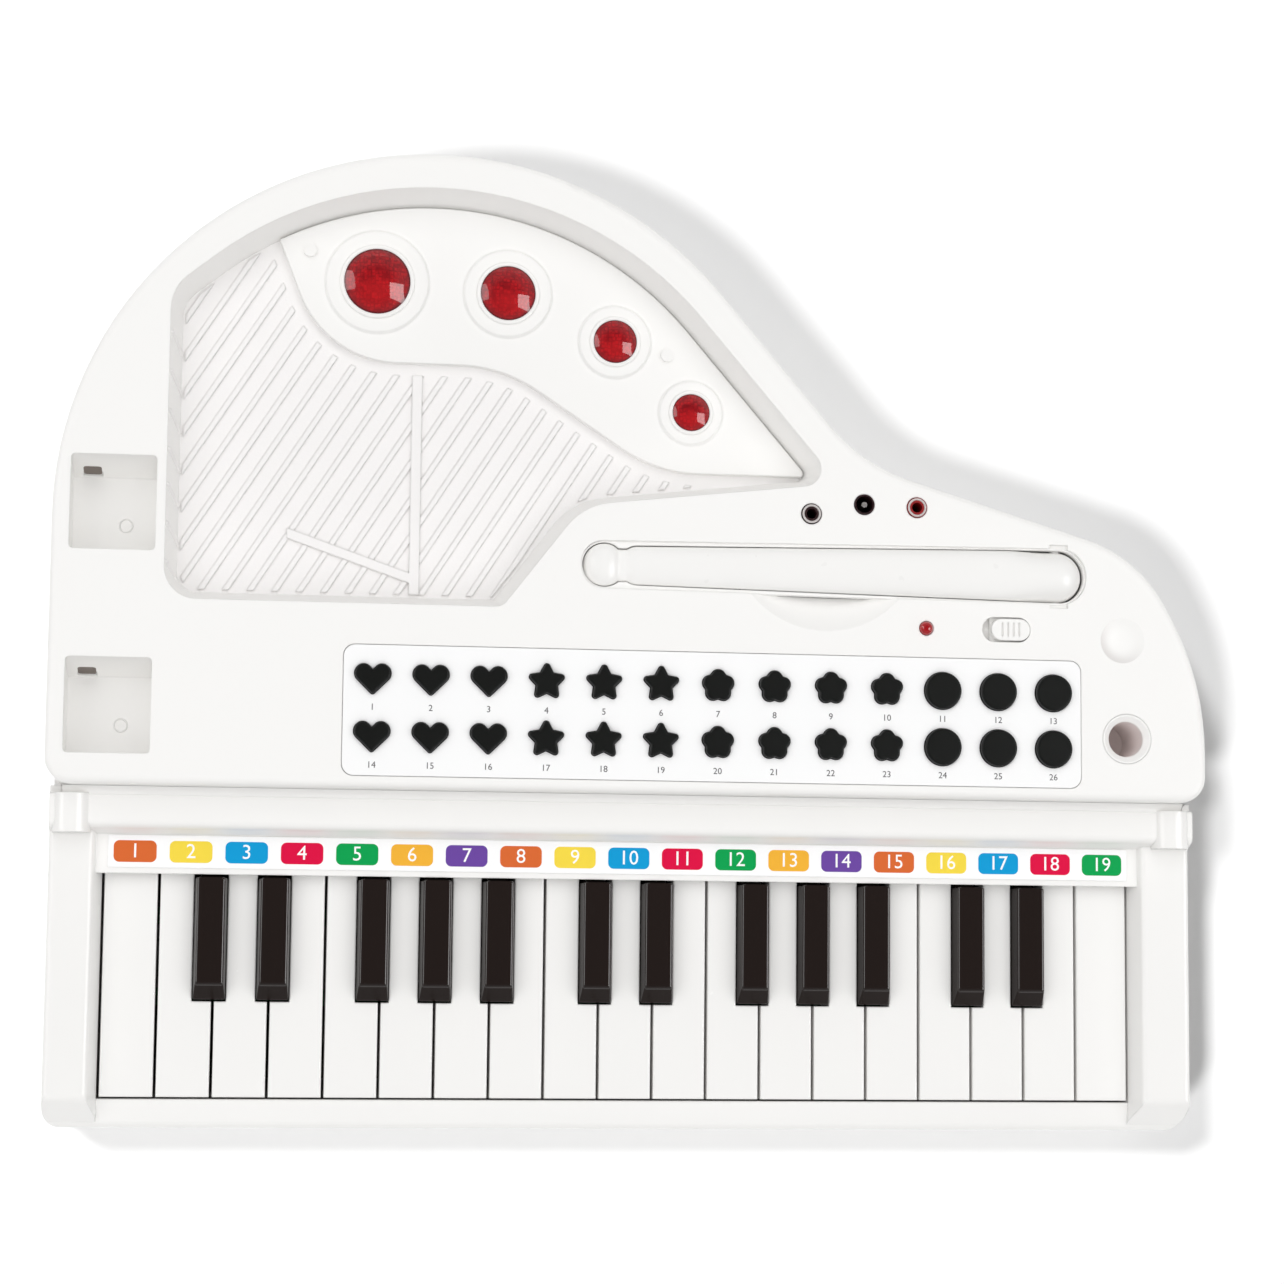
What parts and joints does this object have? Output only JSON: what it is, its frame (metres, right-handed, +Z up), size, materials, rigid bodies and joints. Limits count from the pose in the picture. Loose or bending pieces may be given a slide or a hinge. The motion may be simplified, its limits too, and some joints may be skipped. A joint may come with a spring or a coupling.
{
  "type": "toy piano",
  "caption": "Toy grand piano: white moulded case with hinged keys, shaped push buttons, domed red lamps in a string well, a stowed prop stick, sockets and a slide switch.",
  "frame": {"origin": "middle of the bounding box at the height of the feet's soles", "axes": "+X to the player's right along the keyboard, +Y from the keys to the tail, +Z up"},
  "size_m": [0.403, 0.337, 0.0651],
  "materials": {
    "case_white": "smooth moulded white",
    "key_white": "glossy white",
    "key_black": "glossy black",
    "button_black": "glossy black",
    "lens_red": "clear red moulding",
    "led_clear": "tinted lamp",
    "board_green": "circuit board",
    "rubber_grey": "soft grey",
    "steel": "plain",
    "inner_plastic": "plain dark",
    "socket": "dark with bright collar"
  },
  "bodies": {
    "case": {"deck_cover": "case_white", "keyboard_frame": "case_white", "bottom_shell": "case_white", "string_plate": "case_white", "lamp_panel": "case_white", "button_panel": "case_white", "note_strip": "case_white", "battery_door": "case_white", "stand_sleeve": "case_white", "lamp_lenses": "lens_red", "leds": "led_clear", "upper_boards": "board_green", "key_contact_board": "board_green", "main_board": "board_green", "key_contact_rubber": "rubber_grey", "rubber_feet": "rubber_grey", "key_pivot_rod": "steel", "case_screws": "steel", "key_bed": "inner_plastic", "speaker": "inner_plastic", "switch_body": "inner_plastic", "audio_jacks": "socket", "dc_jack": "socket"},
    "lid_prop": {"lid_prop": "case_white"},
    "power_slider": {"power_slider": "case_white"},
    "buttons_heart": {"buttons_heart": "button_black"},
    "buttons_star": {"buttons_star": "button_black"},
    "buttons_flower": {"buttons_flower": "button_black"},
    "buttons_round": {"buttons_round": "button_black"},
    "white_key_01": {"white_key_01": "key_white"},
    "white_key_02": {"white_key_02": "key_white"},
    "white_key_03": {"white_key_03": "key_white"},
    "white_key_04": {"white_key_04": "key_white"},
    "white_key_05": {"white_key_05": "key_white"},
    "white_key_06": {"white_key_06": "key_white"},
    "white_key_07": {"white_key_07": "key_white"},
    "white_key_08": {"white_key_08": "key_white"},
    "white_key_09": {"white_key_09": "key_white"},
    "white_key_10": {"white_key_10": "key_white"},
    "white_key_11": {"white_key_11": "key_white"},
    "white_key_12": {"white_key_12": "key_white"},
    "white_key_13": {"white_key_13": "key_white"},
    "white_key_14": {"white_key_14": "key_white"},
    "white_key_15": {"white_key_15": "key_white"},
    "white_key_16": {"white_key_16": "key_white"},
    "white_key_17": {"white_key_17": "key_white"},
    "white_key_18": {"white_key_18": "key_white"},
    "white_key_19": {"white_key_19": "key_white"},
    "black_key_01": {"black_key_01": "key_black"},
    "black_key_02": {"black_key_02": "key_black"},
    "black_key_03": {"black_key_03": "key_black"},
    "black_key_04": {"black_key_04": "key_black"},
    "black_key_05": {"black_key_05": "key_black"},
    "black_key_06": {"black_key_06": "key_black"},
    "black_key_07": {"black_key_07": "key_black"},
    "black_key_08": {"black_key_08": "key_black"},
    "black_key_09": {"black_key_09": "key_black"},
    "black_key_10": {"black_key_10": "key_black"},
    "black_key_11": {"black_key_11": "key_black"},
    "black_key_12": {"black_key_12": "key_black"}
  },
  "joints": [
    {"name": "prop_hinge", "type": "hinge", "parent": "case", "child": "lid_prop", "pos_m": [0.148, 0.0259, 0.056], "axis": [0, 1, 0], "range_deg": [0, 85]},
    {"name": "slider_travel", "type": "slide", "parent": "case", "child": "power_slider", "axis": [1, 0, 0], "range_m": [-0.003, 0]},
    {"name": "press_heart", "type": "slide", "parent": "case", "child": "buttons_heart", "axis": [0, 0, -1], "range_m": [0, 0.0012], "stiffness_N_per_m": 300, "springref_m": -0.0008},
    {"name": "press_star", "type": "slide", "parent": "case", "child": "buttons_star", "axis": [0, 0, -1], "range_m": [0, 0.0012], "stiffness_N_per_m": 300, "springref_m": -0.0008},
    {"name": "press_flower", "type": "slide", "parent": "case", "child": "buttons_flower", "axis": [0, 0, -1], "range_m": [0, 0.0012], "stiffness_N_per_m": 300, "springref_m": -0.0008},
    {"name": "press_round", "type": "slide", "parent": "case", "child": "buttons_round", "axis": [0, 0, -1], "range_m": [0, 0.0012], "stiffness_N_per_m": 300, "springref_m": -0.0008},
    {"name": "white_key_01_pivot", "type": "hinge", "parent": "case", "child": "white_key_01", "pos_m": [-0.17225, -0.06, 0.03], "axis": [1, 0, 0], "range_deg": [0, 3.2], "stiffness_Nm_per_rad": 0.6, "springref_deg": -1.15},
    {"name": "white_key_02_pivot", "type": "hinge", "parent": "case", "child": "white_key_02", "pos_m": [-0.15325, -0.06, 0.03], "axis": [1, 0, 0], "range_deg": [0, 3.2], "stiffness_Nm_per_rad": 0.6, "springref_deg": -1.15},
    {"name": "white_key_03_pivot", "type": "hinge", "parent": "case", "child": "white_key_03", "pos_m": [-0.13425, -0.06, 0.03], "axis": [1, 0, 0], "range_deg": [0, 3.2], "stiffness_Nm_per_rad": 0.6, "springref_deg": -1.15},
    {"name": "white_key_04_pivot", "type": "hinge", "parent": "case", "child": "white_key_04", "pos_m": [-0.11525, -0.06, 0.03], "axis": [1, 0, 0], "range_deg": [0, 3.2], "stiffness_Nm_per_rad": 0.6, "springref_deg": -1.15},
    {"name": "white_key_05_pivot", "type": "hinge", "parent": "case", "child": "white_key_05", "pos_m": [-0.09625, -0.06, 0.03], "axis": [1, 0, 0], "range_deg": [0, 3.2], "stiffness_Nm_per_rad": 0.6, "springref_deg": -1.15},
    {"name": "white_key_06_pivot", "type": "hinge", "parent": "case", "child": "white_key_06", "pos_m": [-0.07725, -0.06, 0.03], "axis": [1, 0, 0], "range_deg": [0, 3.2], "stiffness_Nm_per_rad": 0.6, "springref_deg": -1.15},
    {"name": "white_key_07_pivot", "type": "hinge", "parent": "case", "child": "white_key_07", "pos_m": [-0.05825, -0.06, 0.03], "axis": [1, 0, 0], "range_deg": [0, 3.2], "stiffness_Nm_per_rad": 0.6, "springref_deg": -1.15},
    {"name": "white_key_08_pivot", "type": "hinge", "parent": "case", "child": "white_key_08", "pos_m": [-0.03925, -0.06, 0.03], "axis": [1, 0, 0], "range_deg": [0, 3.2], "stiffness_Nm_per_rad": 0.6, "springref_deg": -1.15},
    {"name": "white_key_09_pivot", "type": "hinge", "parent": "case", "child": "white_key_09", "pos_m": [-0.02025, -0.06, 0.03], "axis": [1, 0, 0], "range_deg": [0, 3.2], "stiffness_Nm_per_rad": 0.6, "springref_deg": -1.15},
    {"name": "white_key_10_pivot", "type": "hinge", "parent": "case", "child": "white_key_10", "pos_m": [-0.00125, -0.06, 0.03], "axis": [1, 0, 0], "range_deg": [0, 3.2], "stiffness_Nm_per_rad": 0.6, "springref_deg": -1.15},
    {"name": "white_key_11_pivot", "type": "hinge", "parent": "case", "child": "white_key_11", "pos_m": [0.01775, -0.06, 0.03], "axis": [1, 0, 0], "range_deg": [0, 3.2], "stiffness_Nm_per_rad": 0.6, "springref_deg": -1.15},
    {"name": "white_key_12_pivot", "type": "hinge", "parent": "case", "child": "white_key_12", "pos_m": [0.03675, -0.06, 0.03], "axis": [1, 0, 0], "range_deg": [0, 3.2], "stiffness_Nm_per_rad": 0.6, "springref_deg": -1.15},
    {"name": "white_key_13_pivot", "type": "hinge", "parent": "case", "child": "white_key_13", "pos_m": [0.05575, -0.06, 0.03], "axis": [1, 0, 0], "range_deg": [0, 3.2], "stiffness_Nm_per_rad": 0.6, "springref_deg": -1.15},
    {"name": "white_key_14_pivot", "type": "hinge", "parent": "case", "child": "white_key_14", "pos_m": [0.07475, -0.06, 0.03], "axis": [1, 0, 0], "range_deg": [0, 3.2], "stiffness_Nm_per_rad": 0.6, "springref_deg": -1.15},
    {"name": "white_key_15_pivot", "type": "hinge", "parent": "case", "child": "white_key_15", "pos_m": [0.09375, -0.06, 0.03], "axis": [1, 0, 0], "range_deg": [0, 3.2], "stiffness_Nm_per_rad": 0.6, "springref_deg": -1.15},
    {"name": "white_key_16_pivot", "type": "hinge", "parent": "case", "child": "white_key_16", "pos_m": [0.11275, -0.06, 0.03], "axis": [1, 0, 0], "range_deg": [0, 3.2], "stiffness_Nm_per_rad": 0.6, "springref_deg": -1.15},
    {"name": "white_key_17_pivot", "type": "hinge", "parent": "case", "child": "white_key_17", "pos_m": [0.13175, -0.06, 0.03], "axis": [1, 0, 0], "range_deg": [0, 3.2], "stiffness_Nm_per_rad": 0.6, "springref_deg": -1.15},
    {"name": "white_key_18_pivot", "type": "hinge", "parent": "case", "child": "white_key_18", "pos_m": [0.15075, -0.06, 0.03], "axis": [1, 0, 0], "range_deg": [0, 3.2], "stiffness_Nm_per_rad": 0.6, "springref_deg": -1.15},
    {"name": "white_key_19_pivot", "type": "hinge", "parent": "case", "child": "white_key_19", "pos_m": [0.16975, -0.06, 0.03], "axis": [1, 0, 0], "range_deg": [0, 3.2], "stiffness_Nm_per_rad": 0.6, "springref_deg": -1.15},
    {"name": "black_key_01_pivot", "type": "hinge", "parent": "case", "child": "black_key_01", "pos_m": [-0.14505, -0.06, 0.03], "axis": [1, 0, 0], "range_deg": [0, 3.2], "stiffness_Nm_per_rad": 0.6, "springref_deg": -1.15},
    {"name": "black_key_02_pivot", "type": "hinge", "parent": "case", "child": "black_key_02", "pos_m": [-0.12345, -0.06, 0.03], "axis": [1, 0, 0], "range_deg": [0, 3.2], "stiffness_Nm_per_rad": 0.6, "springref_deg": -1.15},
    {"name": "black_key_03_pivot", "type": "hinge", "parent": "case", "child": "black_key_03", "pos_m": [-0.08935, -0.06, 0.03], "axis": [1, 0, 0], "range_deg": [0, 3.2], "stiffness_Nm_per_rad": 0.6, "springref_deg": -1.15},
    {"name": "black_key_04_pivot", "type": "hinge", "parent": "case", "child": "black_key_04", "pos_m": [-0.06775, -0.06, 0.03], "axis": [1, 0, 0], "range_deg": [0, 3.2], "stiffness_Nm_per_rad": 0.6, "springref_deg": -1.15},
    {"name": "black_key_05_pivot", "type": "hinge", "parent": "case", "child": "black_key_05", "pos_m": [-0.04615, -0.06, 0.03], "axis": [1, 0, 0], "range_deg": [0, 3.2], "stiffness_Nm_per_rad": 0.6, "springref_deg": -1.15},
    {"name": "black_key_06_pivot", "type": "hinge", "parent": "case", "child": "black_key_06", "pos_m": [-0.01205, -0.06, 0.03], "axis": [1, 0, 0], "range_deg": [0, 3.2], "stiffness_Nm_per_rad": 0.6, "springref_deg": -1.15},
    {"name": "black_key_07_pivot", "type": "hinge", "parent": "case", "child": "black_key_07", "pos_m": [0.00955, -0.06, 0.03], "axis": [1, 0, 0], "range_deg": [0, 3.2], "stiffness_Nm_per_rad": 0.6, "springref_deg": -1.15},
    {"name": "black_key_08_pivot", "type": "hinge", "parent": "case", "child": "black_key_08", "pos_m": [0.04365, -0.06, 0.03], "axis": [1, 0, 0], "range_deg": [0, 3.2], "stiffness_Nm_per_rad": 0.6, "springref_deg": -1.15},
    {"name": "black_key_09_pivot", "type": "hinge", "parent": "case", "child": "black_key_09", "pos_m": [0.06525, -0.06, 0.03], "axis": [1, 0, 0], "range_deg": [0, 3.2], "stiffness_Nm_per_rad": 0.6, "springref_deg": -1.15},
    {"name": "black_key_10_pivot", "type": "hinge", "parent": "case", "child": "black_key_10", "pos_m": [0.08685, -0.06, 0.03], "axis": [1, 0, 0], "range_deg": [0, 3.2], "stiffness_Nm_per_rad": 0.6, "springref_deg": -1.15},
    {"name": "black_key_11_pivot", "type": "hinge", "parent": "case", "child": "black_key_11", "pos_m": [0.12095, -0.06, 0.03], "axis": [1, 0, 0], "range_deg": [0, 3.2], "stiffness_Nm_per_rad": 0.6, "springref_deg": -1.15},
    {"name": "black_key_12_pivot", "type": "hinge", "parent": "case", "child": "black_key_12", "pos_m": [0.14255, -0.06, 0.03], "axis": [1, 0, 0], "range_deg": [0, 3.2], "stiffness_Nm_per_rad": 0.6, "springref_deg": -1.15}
  ]
}
